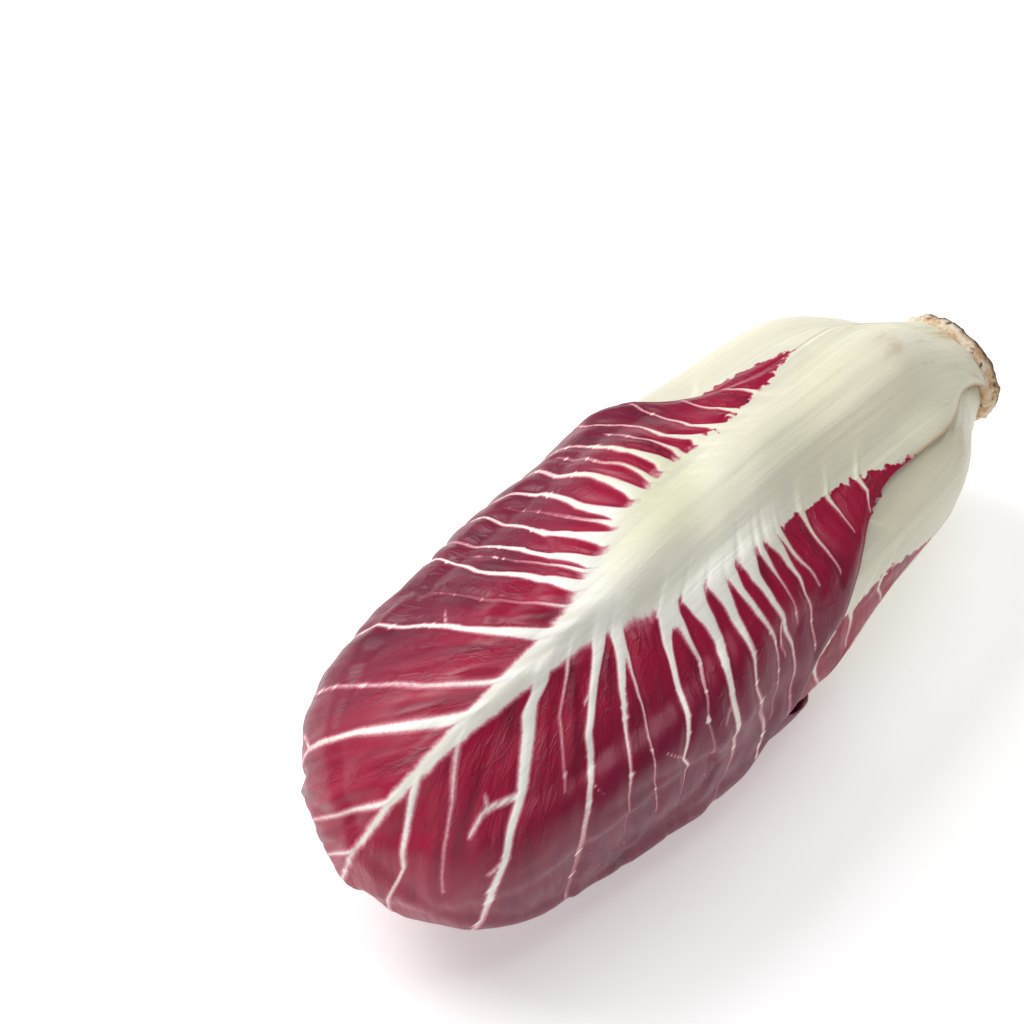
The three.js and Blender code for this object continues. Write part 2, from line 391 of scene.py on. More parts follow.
@dataclass(frozen=True)
class Vein:
    """A side vein, whose path gives the sweep that it is on at shares of the way out."""

    side: Side
    path: tuple[tuple[float, float], ...]
    root_half: float = 1.3
    tip_half: float = 0.4
    reach: float = 0.98

    @property
    def start(self) -> float:
        """The sweep at which it leaves the rib."""
        return self.path[0][1]

    def row(self, out: np.ndarray) -> np.ndarray:
        """The sweep that it is on, at a share of the way out to the margin."""
        return np.interp(out, [out_there for out_there, _ in self.path], [sweep for _, sweep in self.path])

    def half(self, out: np.ndarray) -> np.ndarray:
        """Half of its width there."""
        share = np.clip((out - self.path[0][0]) / (self.reach - self.path[0][0]), 0.0, 1.0)
        return self.tip_half + (self.root_half - self.tip_half) * (1 - share) ** 1.6


@dataclass(frozen=True)
class Fork:
    """A short stroke that branches off a vein, with a path like a vein's."""

    side: Side
    path: tuple[tuple[float, float], ...]
    root_half: float = 0.5
    tip_half: float = 0.24


# Each row: the path as (out, sweep) pairs, half the width at the root and at the end, and the reach.
RIGHT_VEINS = (
    (((0.07, 0.783), (0.17, 0.786), (0.29, 0.784), (0.43, 0.826), (0.60, 0.848)), 1.0, 0.4),
    (((0.04, 0.746), (0.11, 0.743), (0.20, 0.736), (0.40, 0.735)), 0.55, 0.15, 0.44),
    (((0.08, 0.660), (0.12, 0.671), (0.30, 0.662), (0.42, 0.674), (0.62, 0.707), (0.72, 0.733)), 2.3, 0.5),
    (((0.10, 0.623), (0.20, 0.631), (0.34, 0.616)), 0.45, 0.15, 0.36),
    (((0.09, 0.578), (0.18, 0.589), (0.28, 0.597), (0.37, 0.593), (0.54, 0.605), (0.80, 0.626)), 1.9, 0.45),
    (((0.12, 0.551), (0.23, 0.557), (0.37, 0.562), (0.55, 0.566), (0.9, 0.574)), 1.7, 0.4),
    (((0.15, 0.545), (0.29, 0.540), (0.36, 0.542), (0.6, 0.538)), 0.6, 0.2, 0.62),
    (((0.12, 0.480), (0.20, 0.493), (0.37, 0.500), (0.47, 0.512), (0.53, 0.502), (0.9, 0.519)), 1.9, 0.4),
    (((0.17, 0.476), (0.31, 0.469), (0.43, 0.484), (0.58, 0.472)), 0.8, 0.25, 0.7),
    (((0.16, 0.456), (0.30, 0.450), (0.44, 0.458), (0.71, 0.443)), 1.6, 0.35),
    (((0.19, 0.435), (0.42, 0.432), (0.49, 0.436), (0.82, 0.417)), 1.1, 0.3),
    (((0.21, 0.422), (0.35, 0.418), (0.50, 0.409), (0.62, 0.414)), 0.8, 0.25, 0.8),
    (((0.24, 0.403), (0.36, 0.404), (0.49, 0.399), (0.63, 0.395), (0.8, 0.399)), 1.0, 0.3),
    (((0.28, 0.388), (0.45, 0.385), (0.6, 0.386)), 0.5, 0.2, 0.62),
    (((0.31, 0.372), (0.46, 0.368), (0.58, 0.371), (0.76, 0.375)), 0.8, 0.25, 0.86),
    (((0.34, 0.361), (0.43, 0.359), (0.60, 0.354)), 0.5, 0.2, 0.66),
    (((0.40, 0.322), (0.52, 0.325), (0.67, 0.327)), 0.5, 0.2, 0.8),
    (((0.55, 0.285), (0.70, 0.284), (0.85, 0.287)), 0.35, 0.15, 0.86),
    (((0.72, 0.242), (0.87, 0.243), (0.95, 0.254)), 0.4, 0.2),
)
# The same on the left half.
LEFT_VEINS = (
    (((0.05, 0.905), (0.5, 0.912)), 0.6, 0.25),
    (((0.04, 0.858), (0.3, 0.862), (0.7, 0.876)), 0.6, 0.25),
    (((0.05, 0.808), (0.24, 0.806), (0.47, 0.805)), 0.8, 0.25, 0.7),
    (((0.07, 0.730), (0.16, 0.725), (0.33, 0.715), (0.50, 0.720), (0.58, 0.733)), 1.5, 0.4),
    (((0.08, 0.690), (0.25, 0.679), (0.33, 0.669), (0.50, 0.657), (0.7, 0.657)), 0.8, 0.2, 0.8),
    (((0.06, 0.624), (0.22, 0.613), (0.35, 0.601), (0.52, 0.593), (0.60, 0.603), (0.75, 0.642)), 1.7, 0.4),
    (((0.10, 0.580), (0.30, 0.572), (0.5, 0.562)), 0.4, 0.15, 0.55),
    (((0.11, 0.548), (0.26, 0.538), (0.40, 0.537), (0.56, 0.522), (0.8, 0.520)), 1.6, 0.4),
    (((0.12, 0.526), (0.30, 0.519), (0.45, 0.517)), 0.5, 0.2, 0.5),
    (((0.12, 0.511), (0.21, 0.511), (0.34, 0.502), (0.55, 0.501), (0.8, 0.492)), 1.4, 0.35),
    (((0.13, 0.480), (0.23, 0.482), (0.37, 0.475), (0.60, 0.464)), 1.3, 0.35),
    (((0.15, 0.465), (0.35, 0.460), (0.5, 0.455)), 0.5, 0.2, 0.55),
    (((0.17, 0.453), (0.29, 0.451), (0.48, 0.440), (0.62, 0.445)), 1.2, 0.3),
    (((0.20, 0.426), (0.36, 0.424), (0.48, 0.425), (0.67, 0.421)), 1.1, 0.3),
    (((0.27, 0.405), (0.42, 0.411), (0.6, 0.408)), 0.5, 0.2, 0.66),
    (((0.30, 0.385), (0.42, 0.398), (0.61, 0.394), (0.72, 0.398)), 1.0, 0.3),
    (((0.36, 0.366), (0.5, 0.380), (0.7, 0.378)), 0.45, 0.2, 0.72),
    (((0.40, 0.341), (0.49, 0.362), (0.76, 0.363), (0.85, 0.375)), 0.8, 0.25),
    (((0.41, 0.312), (0.55, 0.331), (0.9, 0.335)), 0.7, 0.25),
    (((0.55, 0.284), (0.7, 0.296), (0.9, 0.299)), 0.5, 0.2),
    (((0.72, 0.25), (0.9, 0.262)), 0.4, 0.2),
)
# Each row: the path as (out, sweep) pairs, and half the width at the root and at the end.
RIGHT_FORKS = (
    (((0.31, 0.664), (0.29, 0.691), (0.29, 0.702), (0.32, 0.711)), 0.75, 0.3),
    (((0.29, 0.696), (0.25, 0.702)), 0.42, 0.24),
    (((0.47, 0.512), (0.43, 0.524), (0.41, 0.530)), 0.5, 0.24),
    (((0.42, 0.674), (0.44, 0.690)), 0.45, 0.24),
    (((0.18, 0.589), (0.21, 0.601)), 0.45, 0.24),
    (((0.37, 0.593), (0.41, 0.583)), 0.45, 0.24),
    (((0.44, 0.458), (0.48, 0.466)), 0.4, 0.24),
    (((0.49, 0.399), (0.55, 0.406), (0.6, 0.405)), 0.38, 0.24),
)
# The same on the left half.
LEFT_FORKS = (
    (((0.50, 0.720), (0.55, 0.705), (0.62, 0.700)), 0.5, 0.24),
    (((0.35, 0.601), (0.38, 0.585)), 0.42, 0.24),
)
TOP_VEINS = tuple(Vein(Side.RIGHT, *row) for row in RIGHT_VEINS) + tuple(
    Vein(Side.LEFT, *row) for row in LEFT_VEINS
)
TOP_FORKS = tuple(Fork(Side.RIGHT, *row) for row in RIGHT_FORKS) + tuple(
    Fork(Side.LEFT, *row) for row in LEFT_FORKS
)


@dataclass(frozen=True)
class VeinCourse:
    """A vein as it lies on one leaf: where its middle is and how wide it is, all the way out."""

    vein: Vein
    outs: np.ndarray
    rows: np.ndarray
    halves: np.ndarray

    def row(self, out: np.ndarray) -> np.ndarray:
        """The sweep of its middle."""
        return np.interp(out, self.outs, self.rows)

    def half(self, out: np.ndarray) -> np.ndarray:
        """Half of its width."""
        return np.interp(out, self.outs, self.halves)


@dataclass(frozen=True)
class VeinHabit:
    """How the side veins of a leaf are spaced where they aren't placed one by one."""

    seed: int
    first: float = 0.24
    last: float = 0.9
    count: int = 16
    kinks: int = 5
    forks: int = 3

    def grown(self) -> tuple[Vein, ...]:
        """The veins of both sides, drawn from the leaf's own seed."""
        draw = np.random.default_rng(self.seed)
        veins = []
        for side in Side:
            for number in range(self.count):
                share = (number + draw.uniform(0.25, 0.75)) / self.count
                start = self.first + (self.last - self.first) * share**0.9
                stout = 0.5 + 1.3 * math.exp(-(((start - 0.58) / 0.16) ** 2)) * draw.uniform(0.6, 1.0)
                lean = draw.uniform(-0.015, 0.02)
                outs = np.linspace(0.1, 0.9, self.kinks)
                bends = draw.uniform(-0.004, 0.004, self.kinks)
                path = tuple((float(out), float(start + lean * out + bend)) for out, bend in zip(outs, bends))
                reach = 0.98 if stout > 0.8 else float(draw.uniform(0.5, 0.98))
                veins.append(Vein(side, path, stout, 0.25, reach))
        return tuple(veins)

    def forked(self, veins: tuple[Vein, ...]) -> tuple[Fork, ...]:
        """Short forks that branch off the stouter veins.

        Args:
            veins: the veins that they leave.

        Returns:
            The forks alone.
        """
        draw = np.random.default_rng(self.seed + 100)
        forks = []
        for vein in veins:
            if vein.root_half < 0.9:
                continue
            for _ in range(self.forks):
                out = draw.uniform(0.4, 0.85) * vein.reach
                root = float(vein.row(np.array(out)))
                slant = draw.choice([-1, 1]) * draw.uniform(0.005, 0.014)
                end = (out + draw.uniform(0.02, 0.07), root + slant)
                forks.append(Fork(vein.side, ((out, root), end), 0.48, 0.24))
        return tuple(forks)


# ---------------------------------------------------------------- leaves


@dataclass
class Leaf:
    """One leaf, cut into a fine mesh whose rows sweep towards the tip as its veins do."""

    wrapping: Wrapping
    index: int
    veins: tuple[Vein, ...]
    forks: tuple[Fork, ...]
    seed: int
    columns: int = 180
    rows: int = 400
    coarse: int = 4
    corner: float = 0.94
    sweep: float = 0.32
    sweep_rise: tuple[float, float] = (0.36, 0.62)
    tip_half: float = 6.0
    tip_power: float = 1.6
    kink: float = 0.8
    flare: float = 2.3
    flare_reach: float = 5.0
    strand_slant: float = 0.0033
    tip_slimming: float = 0.4
    fold: float = 0.6
    vein_relief: float = 0.45
    pucker: float = 0.75
    pale_profile: tuple[tuple[float, float], ...] = (
        (40.0, 46.0), (46.0, 27.0), (53.0, 25.5), (62.0, 22.0), (70.0, 20.3), (88.0, 17.4),
        (106.0, 16.8), (116.0, 15.6), (126.0, 13.8), (137.0, 10.4), (148.0, 8.7), (157.0, 6.5),
        (168.0, 4.4), (185.0, 3.0), (194.0, 2.3), (203.0, 1.6), (212.0, 1.1), (221.0, 0.75),
        (236.0, 0.45),
    )
    pale_margin: float = 0.0

    @property
    def form(self) -> LeafForm:
        """The outline of this leaf."""
        return self.wrapping.leaves[self.index]

    def shell(self) -> bmesh.types.BMesh:
        """A thin closed box over the square from -1 to 1: a fine face over a coarse one."""
        sheet = bmesh.new()
        bmesh.ops.create_grid(sheet, x_segments=self.columns, y_segments=self.rows, size=1.0)
        outer_rim = [edge for edge in sheet.edges if edge.is_boundary]
        outer_faces = set(sheet.faces)
        bmesh.ops.create_grid(
            sheet,
            x_segments=self.columns // self.coarse,
            y_segments=self.rows // self.coarse,
            size=1.0,
            matrix=Matrix.Translation((0.0, 0.0, -1.0)),
        )
        inner_faces = [face for face in sheet.faces if face not in outer_faces]
        bmesh.ops.reverse_faces(sheet, faces=inner_faces)
        inner_rim = [edge for edge in sheet.edges if edge.is_boundary and edge.verts[0].co.z < -0.5]
        bmesh.ops.subdivide_edges(sheet, edges=inner_rim, cuts=self.coarse - 1, use_single_edge=True)
        inner_rim = [edge for edge in sheet.edges if edge.is_boundary and edge.verts[0].co.z < -0.5]
        bmesh.ops.bridge_loops(sheet, edges=outer_rim + inner_rim)
        return sheet

    def margin(self, sweep: np.ndarray) -> tuple[np.ndarray, np.ndarray]:
        """Where each sweep meets the margin: up the side, and then round the end to the tip."""
        form = self.form
        rise_start, rise_end = self.sweep_rise
        side = sweep + self.sweep * smoothstep(rise_start, rise_end, sweep)
        corner_half = float(form.half_width(np.array([self.corner]))[0])
        past = np.clip((sweep - rise_end) / (1 - rise_end), 0.0, 1.0)
        end_half = self.tip_half + (corner_half - self.tip_half) * (1 - past) ** self.tip_power
        end = 1 - form.end_round * (end_half / corner_half) ** 2
        on_end = sweep > rise_end
        half = np.where(on_end, end_half, form.half_width(np.minimum(side, self.corner)))
        return np.where(on_end, end, side) * form.length, half

    def spread(self, sweep: np.ndarray, out: np.ndarray) -> tuple[np.ndarray, np.ndarray]:
        """Distance along and across the leaf of a place on its sweeps.

        Args:
            sweep: share of the length at which the sweep leaves the rib.
            out: share of the way to the margin, negative to the left.

        Returns:
            Along and across, in millimetres.
        """
        edge_along, edge_across = self.margin(sweep)
        axis = self.form.length * sweep
        side = np.abs(out)
        return axis + (edge_along - axis) * side, np.sign(out) * edge_across * side

    def kinked(self, along: np.ndarray, across: np.ndarray) -> tuple[np.ndarray, np.ndarray]:
        """Small bends in the veins, which leave the rib straight."""
        hills = Unevenness(self.seed)
        size = self.kink * smoothstep(4.0, 20.0, np.abs(across)) * smoothstep(10.0, 60.0, along)
        broad = hills.at(along / 11.0, across / 9.0, sharp=True)
        narrow = hills.at(along / 5.0 + 31, across / 4.2 + 7, sharp=True)
        sideways = hills.at(along / 8.0 + 50, across / 8.0 + 11)
        return along + size * (broad + 0.7 * narrow), across + 0.5 * size * sideways

    def course(self, vein: Vein) -> VeinCourse:
        """Lays a vein on the leaf, flared where it leaves the rib, and carried on as a strand within it.

        Args:
            vein: the vein.

        Returns:
            Its course from the middle of the rib to the margin.
        """
        outs = np.linspace(0.0, 1.0, 241)
        along, across = self.spread(vein.row(outs), outs)
        pale = self.pale_half(along)
        off_rib = across - pale
        outwards, inwards = np.maximum(off_rib, 0.0), np.clip(-off_rib, 0.0, 14.0)
        bent = self.strand_slant * inwards
        webbing = self.flare * min(1.0, vein.root_half / 1.3) * np.clip(pale / 16.0, 0.1, 1.0)
        webbing = webbing * np.exp(-outwards / self.flare_reach)
        slim = 1 - self.tip_slimming * smoothstep(140.0, 200.0, along)
        return VeinCourse(vein, outs, vein.row(outs) - bent, (vein.half(outs) + webbing) * slim)

    def rows_on_veins(self, out: np.ndarray, even: np.ndarray, courses: list[VeinCourse]) -> np.ndarray:
        """Moves the rows of the mesh so that one runs down the middle of every vein.

        Args:
            out: each vertex's share of the way out.
            even: its sweep, where the rows are evenly spaced.
            courses: the veins, on both sides.

        Returns:
            The sweep of each vertex.
        """
        moved = even.copy()
        for column in np.unique(out):
            side = Side.RIGHT if column > 0 else Side.LEFT
            own = [course for course in courses if course.vein.side is side]
            own.sort(key=lambda course: course.vein.start)
            rows = np.array([round(course.vein.start * self.rows) / self.rows for course in own])
            target = np.array([float(course.row(abs(column))) for course in own])
            target = np.maximum.accumulate(target + 1e-4 * np.arange(len(own)))
            here = out == column
            lain = np.interp(even[here], np.r_[0.0, rows, 1.0], np.r_[0.0, np.minimum(target, 0.999), 1.0])
            share = float(smoothstep(0.0, 0.06, np.array(abs(column))))
            moved[here] += (lain - even[here]) * share
        return moved

    def vein_fields(self, sweep: np.ndarray, out: np.ndarray, courses: list[VeinCourse]) -> np.ndarray:
        """Distance to the white edge of the nearest vein, negative inside it.

        Args:
            sweep: the place's sweep.
            out: its share of the way out.
            courses: which veins count.

        Returns:
            The distance in millimetres.
        """
        step = 1e-3
        above, below = self.spread(sweep + step, out), self.spread(sweep - step, out)
        d_sweep = np.stack([(above[0] - below[0]) / (2 * step), (above[1] - below[1]) / (2 * step)])
        far, near = self.spread(sweep, out * (1 + step)), self.spread(sweep, out * (1 - step))
        reach = np.maximum(np.abs(out) * 2 * step, 1e-9)
        d_out = np.stack([(far[0] - near[0]) / reach, (far[1] - near[1]) / reach])
        out_length = np.maximum(np.hypot(d_out[0], d_out[1]), 1e-6)
        apart = np.abs(d_sweep[0] * d_out[1] - d_sweep[1] * d_out[0]) / out_length
        nearest = np.full(sweep.shape, 1e3)
        for course in courses:
            vein = course.vein
            there = np.sign(out) == vein.side.value
            share = np.abs(out[there])
            lean = (course.row(share + 0.01) - course.row(share - 0.01)) / 0.02
            square = 1 / np.sqrt(1 + (lean * apart[there] / out_length[there]) ** 2)
            aside = np.abs(sweep[there] - course.row(share)) * apart[there] * square
            past = np.maximum(0.0, share - vein.reach) * out_length[there]
            nearest[there] = np.minimum(nearest[there], np.hypot(aside, past) - course.half(share))
        return nearest

    def pale_half(self, along: np.ndarray) -> np.ndarray:
        """Half the width of the white rib, which at the foot is wider than the leaf."""
        places, halves = np.array(self.pale_profile).T
        return np.interp(along, places, halves)

    def fork_field(self, along: np.ndarray, across: np.ndarray) -> np.ndarray:
        """Distance to the edge of the nearest fork, negative inside it.

        Args:
            along: distance along the rib.
            across: distance across it.

        Returns:
            The distance in millimetres.
        """
        nearest = np.full(along.shape, 1e3)
        for fork in self.forks:
            outs, sweeps = np.array(fork.path).T
            line_along, line_across = self.spread(sweeps, outs * fork.side.value)
            stages = np.linspace(0.0, 1.0, len(outs))
            for i in range(len(outs) - 1):
                step_along = line_along[i + 1] - line_along[i]
                step_across = line_across[i + 1] - line_across[i]
                from_along, from_across = along - line_along[i], across - line_across[i]
                ahead = from_along * step_along + from_across * step_across
                share = np.clip(ahead / max(1e-6, step_along**2 + step_across**2), 0.0, 1.0)
                away = np.hypot(from_along - share * step_along, from_across - share * step_across)
                stage = stages[i] + (stages[i + 1] - stages[i]) * share
                half = fork.root_half + (fork.tip_half - fork.root_half) * stage
                nearest = np.minimum(nearest, away - half)
        return nearest

    def build(self) -> bpy.types.Object:
        """Makes the leaf's mesh, in metres, with what its finish reads as attributes."""
        sheet = self.shell()
        mesh = bpy.data.meshes.new(self.form.name)
        sheet.to_mesh(mesh)
        sheet.free()
        count = len(mesh.vertices)
        flat = np.empty(count * 3)
        mesh.vertices.foreach_get("co", flat)
        flat = flat.reshape(-1, 3)
        out, outer = np.round(flat[:, 0], 5), flat[:, 2] > -0.5
        courses = [self.course(vein) for vein in self.veins]
        sweep = self.rows_on_veins(out, (flat[:, 1] + 1) / 2, courses)

        form, head = self.form, self.wrapping.head
        plain_along, plain_across = self.spread(sweep, out)
        along, across = self.kinked(plain_along, plain_across)
        along = np.clip(along, 0.0, form.length)
        inside = form.inside_margin(plain_along, plain_across)
        rib_edge = np.abs(across) - self.pale_half(plain_along)
        if self.pale_margin:
            rib_edge = np.minimum(rib_edge, inside - self.pale_margin * smoothstep(120.0, 90.0, plain_along))
        vein = self.vein_fields(sweep, out, courses)
        fork = self.fork_field(plain_along, plain_across)

        foot, direction = form.onto(head, along, across)
        rise = self.wrapping.gap + form.bulge(along, across) + self.curl(sweep, out, along, inside)
        under = head.heart(foot, direction) + self.wrapping.height_under(self.index, foot, direction) + rise
        margin_thin = 0.45 + 0.55 * smoothstep(0.0, 3.0, inside)
        thickness = form.blade * margin_thin + form.rib_height(along, np.abs(across))
        relief = self.relief(plain_along, plain_across, sweep, out, inside, vein, fork, rib_edge)
        radius = under + np.where(outer, thickness + relief, 0.0)
        points = head.place(foot, direction, radius)
        points[:, 2] = np.maximum(np.where(outer, 0.0, 0.45), points[:, 2])

        mesh.vertices.foreach_set("co", (points * MM).ravel())
        self.note(mesh, "vein_edge", vein)
        self.note(mesh, "fork_edge", fork)
        self.note(mesh, "rib_edge", rib_edge)
        self.note(mesh, "inside", inside)
        self.note(mesh, "along", plain_along)
        row_along = np.hypot(plain_along - form.length * sweep, plain_across)
        weave = np.stack([row_along * np.sign(out), form.length * sweep, np.zeros(count)], axis=1)
        self.note_vector(mesh, "weave", weave)
        self.note_vector(mesh, "spread", np.stack([plain_along, plain_across, np.zeros(count)], axis=1))
        mesh.polygons.foreach_set("use_smooth", np.ones(len(mesh.polygons), dtype=bool))
        mesh.update()
        piece = bpy.data.objects.new(form.name + "_fine", mesh)
        bpy.context.scene.collection.objects.link(piece)
        return piece

    def curl(self, sweep: np.ndarray, out: np.ndarray, along: np.ndarray, inside: np.ndarray) -> np.ndarray:
        """How far the margin lifts off the leaf below, in waves."""
        height, reach = self.form.curl
        share = smoothstep(self.form.swell[1], self.form.swell[2], along / self.form.length)
        edge = 1 - smoothstep(0.0, reach, inside)
        wave = (1 + np.sin(2 * np.pi * 7 * sweep + self.index * np.sign(out))) / 2
        hills = Unevenness(self.seed + 3)
        frill = 0.5 + 0.5 * hills.at(along / 7.0, out * 9.0 + 40)
        return height * share * edge * (0.55 * wave + 0.45 * frill)

    def relief(
        self,
        along: np.ndarray,
        across: np.ndarray,
        sweep: np.ndarray,
        out: np.ndarray,
        inside: np.ndarray,
        vein: np.ndarray,
        fork: np.ndarray,
        rib_edge: np.ndarray,
    ) -> np.ndarray:
        """Veins that stand up, the blade puckered between them, and the ribbing of the rib."""
        hills, fine = Unevenness(self.seed + 1), Unevenness(self.seed + 2)
        off_rib = smoothstep(-3.0, 6.0, rib_edge)
        ridge = self.vein_relief * (1 - smoothstep(-1.2, 0.5, vein)) * smoothstep(-13.0, 1.0, rib_edge)
        ridge = ridge + 0.2 * (1 - smoothstep(-0.3, 0.5, fork)) * off_rib
        level = self.form.length * sweep
        row = np.hypot(along - level, across) * np.sign(out)
        slanted = hills.at((row + level) / 13.0 + 31, (level - 0.4 * row) / 7.0 + 17)
        swell = 0.55 + 0.28 * hills.at(row / 16.0, level / 6.0) + 0.27 * slanted
        crease = 0.5 + 0.5 * fine.at(row / 7.0 + 13, level / 2.6)
        pucker = self.pucker * smoothstep(0.1, 3.4, np.minimum(vein, rib_edge)) * swell
        pucker = pucker + 0.09 * crease * off_rib * smoothstep(0.2, 1.6, vein)
        pleat = hills.at(row / 21.0 + 3, level / 5.2 + 60, sharp=True)
        pleat = pleat + 0.3 * fine.at(row / 12.0 + 9, level / 3.4, sharp=True)
        near_tip = smoothstep(0.45, 0.72, sweep)
        pucker = pucker + self.fold * pleat * near_tip * smoothstep(0.2, 2.5, vein) * off_rib
        broad_lines = fine.at(across / 5.0 + 9, along / 80.0)
        fine_lines = fine.at(across / 1.6 + 5, along / 60.0)
        rib_lines = (0.10 * fine_lines + 0.22 * broad_lines) * (1 - off_rib)
        calm = smoothstep(0.0, 5.0, inside)
        return (ridge + pucker) * calm + rib_lines * smoothstep(0.0, 12.0, along) * calm

    @staticmethod
    def note(mesh: bpy.types.Mesh, name: str, values: np.ndarray) -> None:
        """Writes one number for each vertex under a name that a finish reads."""
        mesh.attributes.new(name, "FLOAT", "POINT").data.foreach_set("value", values.astype(np.float32))

    @staticmethod
    def note_vector(mesh: bpy.types.Mesh, name: str, values: np.ndarray) -> None:
        """Writes a vector for each vertex under a name that a finish reads."""
        layer = mesh.attributes.new(name, "FLOAT_VECTOR", "POINT")
        layer.data.foreach_set("vector", values.astype(np.float32).ravel())


# ---------------------------------------------------------------- the cut root


@dataclass
class RootStub:
    """The stub of the root, roughly trimmed, with the torn feet of outer leaves round it."""

    head: HeadForm
    gap: float = 0.4
    sides: int = 192
    rings: int = 72
    profile: tuple[tuple[float, float, float], ...] = (
        (9.0, 0.0, 0.0),
        (8.6, 5.0, 0.4),
        (8.2, 9.0, 0.6),
        (7.8, 14.6, 0.9),
        (6.6, 16.6, 1.0),
        (4.0, 17.2, 0.9),
        (1.6, 17.0, 0.8),
        (0.4, 15.6, 0.5),
        (0.4, 0.0, 0.0),
    )
    lobes: tuple[tuple[int, float], ...] = ((3, 0.5), (8, 0.3), (13, 0.2))

    def build(self) -> bpy.types.Object:
        """Makes the stub from a ball whose rings take the stub's outline."""
        ball = bmesh.new()
        bmesh.ops.create_uvsphere(ball, u_segments=self.sides, v_segments=self.rings, radius=1.0)
        mesh = bpy.data.meshes.new("root_stub")
        ball.to_mesh(mesh)
        ball.free()
        flat = np.empty(len(mesh.vertices) * 3)
        mesh.vertices.foreach_get("co", flat)
        flat = flat.reshape(-1, 3)
        turn = np.arctan2(flat[:, 1], flat[:, 0])
        ring = np.arccos(np.clip(flat[:, 2], -1.0, 1.0)) / np.pi
        table = np.array(self.profile)
        length = np.concatenate([[0.0], np.cumsum(np.hypot(np.diff(table[:, 0]), np.diff(table[:, 1])))])
        length /= length[-1]
        behind, radius, rough = (np.interp(ring, length, table[:, i]) for i in range(3))
        uneven = sum(share * np.sin(count * turn + 7 * ring) for count, share in self.lobes)
        hills = Unevenness(71, 64)
        round_once = turn * 64 / (2 * np.pi) + 64
        grain = hills.at(round_once, ring * 30) + 0.5 * hills.at(turn * 64 / np.pi + 64, ring * 60)
        radius = np.maximum(0.0, radius + rough * (0.7 * uneven + 0.5 * grain))
        cut = smoothstep(2.0, 7.0, behind)
        behind = behind - 0.5 * cut * (0.5 + 0.5 * hills.at(radius / 2.2, round_once))
        direction = np.stack([np.zeros(len(turn)), np.sin(turn), np.cos(turn)], axis=1)
        points = self.head.place(-behind, direction, radius)
        mesh.vertices.foreach_set("co", (points * MM).ravel())
        Leaf.note(mesh, "behind", behind)
        Leaf.note(mesh, "from_middle", radius)
        mesh.polygons.foreach_set("use_smooth", np.ones(len(mesh.polygons), dtype=bool))
        mesh.update()
        piece = bpy.data.objects.new("root_stub_fine", mesh)
        bpy.context.scene.collection.objects.link(piece)
        return piece


# ---------------------------------------------------------------- finishes


Tone = tuple[float, float, float]


def linear(red: float, green: float, blue: float) -> tuple[float, float, float, float]:
    """A colour given from 0 to 255 as it looks on a screen, as the shader's own values."""

    def channel(value: float) -> float:
        share = value / 255.0
        return share / 12.92 if share <= 0.04045 else ((share + 0.055) / 1.055) ** 2.4

    return channel(red), channel(green), channel(blue), 1.0


class Signal:
    """A shader value that takes part in Python expressions."""

    def __init__(self, bench: "Bench", socket: bpy.types.NodeSocket) -> None:
        """Wraps a socket.

        Args:
            bench: the material that the socket is in.
            socket: the output that holds the value.
        """
        self.bench = bench
        self.socket = socket

    def _with(self, operation: str, first: object, second: object) -> "Signal":
        """One Math node on two values."""
        return self.bench.signal("ShaderNodeMath", {"operation": operation}, {0: first, 1: second})

    def __add__(self, other: object) -> "Signal":
        """Sum."""
        return self._with("ADD", self, other)

    def __sub__(self, other: object) -> "Signal":
        """Difference."""
        return self._with("SUBTRACT", self, other)

    def __rsub__(self, other: object) -> "Signal":
        """Difference the other way round."""
        return self._with("SUBTRACT", other, self)

    def __mul__(self, other: object) -> "Signal":
        """Product."""
        return self._with("MULTIPLY", self, other)

    __radd__ = __add__
    __rmul__ = __mul__


